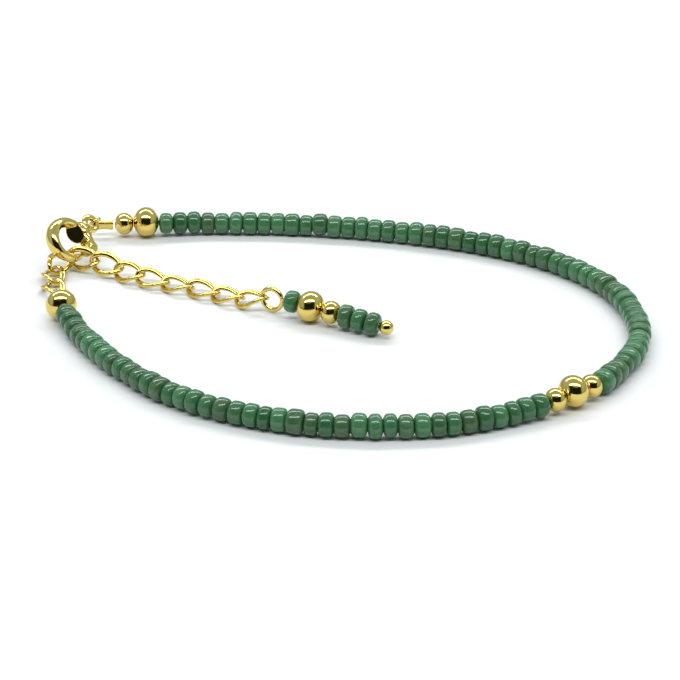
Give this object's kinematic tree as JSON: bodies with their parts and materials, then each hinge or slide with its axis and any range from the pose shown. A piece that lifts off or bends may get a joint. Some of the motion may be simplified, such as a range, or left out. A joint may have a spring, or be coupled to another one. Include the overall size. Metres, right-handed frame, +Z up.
{
  "type": "beaded anklet",
  "caption": "Fastened anklet of green glass seed beads and gold-coloured metal beads on a thread, with a sprung lobster clasp, a twisted curb extension chain and a beaded drop.",
  "frame": {"origin": "middle of the bounding box, on the surface that the anklet lies on", "axes": "+X along the anklet's long side, away from the clasp; +Y from the front run of beads to the back run; +Z up"},
  "size_m": [0.0798, 0.0652, 0.0067],
  "materials": {
    "seed_glass": "glossy translucent green glass with a lustre",
    "gold_metal": "polished pale gold plating"
  },
  "bodies": {
    "anklet": {"gold_back_small": "gold_metal", "gold_back_large": "gold_metal", "gold_side_small_a": "gold_metal", "gold_side_large": "gold_metal", "gold_side_small_b": "gold_metal", "gold_front_large": "gold_metal", "seeds_back_1": "seed_glass", "seeds_back_2": "seed_glass", "seeds_back_3": "seed_glass", "seeds_back_4": "seed_glass", "seeds_back_5": "seed_glass", "seeds_front_1": "seed_glass", "seeds_front_2": "seed_glass", "seeds_front_3": "seed_glass", "seeds_front_4": "seed_glass", "clasp_body": "gold_metal", "link_01": "gold_metal", "link_02": "gold_metal", "link_03": "gold_metal", "link_04": "gold_metal", "link_05": "gold_metal", "link_06": "gold_metal", "link_07": "gold_metal", "link_08": "gold_metal", "link_09": "gold_metal", "link_10": "gold_metal", "link_11": "gold_metal", "crimp": "gold_metal", "wire_loop_clasp": "gold_metal", "wire_loop_chain": "gold_metal", "drop_seed_1": "seed_glass", "drop_gold_large": "gold_metal", "drop_gold_small": "gold_metal", "drop_seed_2": "seed_glass", "drop_seed_3": "seed_glass", "drop_seed_4": "seed_glass", "drop_pin": "gold_metal"},
    "lever": {"clasp_lever": "gold_metal"}
  },
  "joints": [
    {"name": "clasp_lever_hinge", "type": "hinge", "parent": "anklet", "child": "lever", "pos_m": [-0.03386, 0.02075, 0.00225], "axis": [-0.6259, 0.4248, -0.6541], "range_deg": [0, 20], "stiffness_Nm_per_rad": 0.01}
  ]
}
